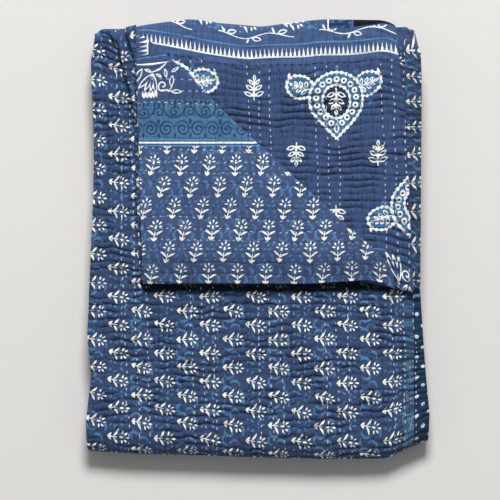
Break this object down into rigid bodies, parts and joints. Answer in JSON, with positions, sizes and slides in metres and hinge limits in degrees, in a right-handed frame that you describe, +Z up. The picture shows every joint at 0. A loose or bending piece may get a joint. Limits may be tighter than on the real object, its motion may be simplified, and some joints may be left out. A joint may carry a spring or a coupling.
{
  "type": "folded sari bedspread",
  "caption": "Hand-quilted patchwork cotton bedspread, folded into a flat packet with the free corner of its top ply turned down along a diagonal.",
  "frame": {"origin": "under the middle of the folded packet, on the surface it lies on", "axes": "+X to the packet's free right edge, +Y towards the edge where the turned corner starts, +Z up"},
  "size_m": [0.396, 0.5068, 0.0687],
  "materials": {
    "indigo_cotton": "matte indigo block-printed cotton, hand-quilted in white and dark thread"
  },
  "bodies": {
    "root": {"bedspread": "indigo_cotton"}
  },
  "joints": []
}
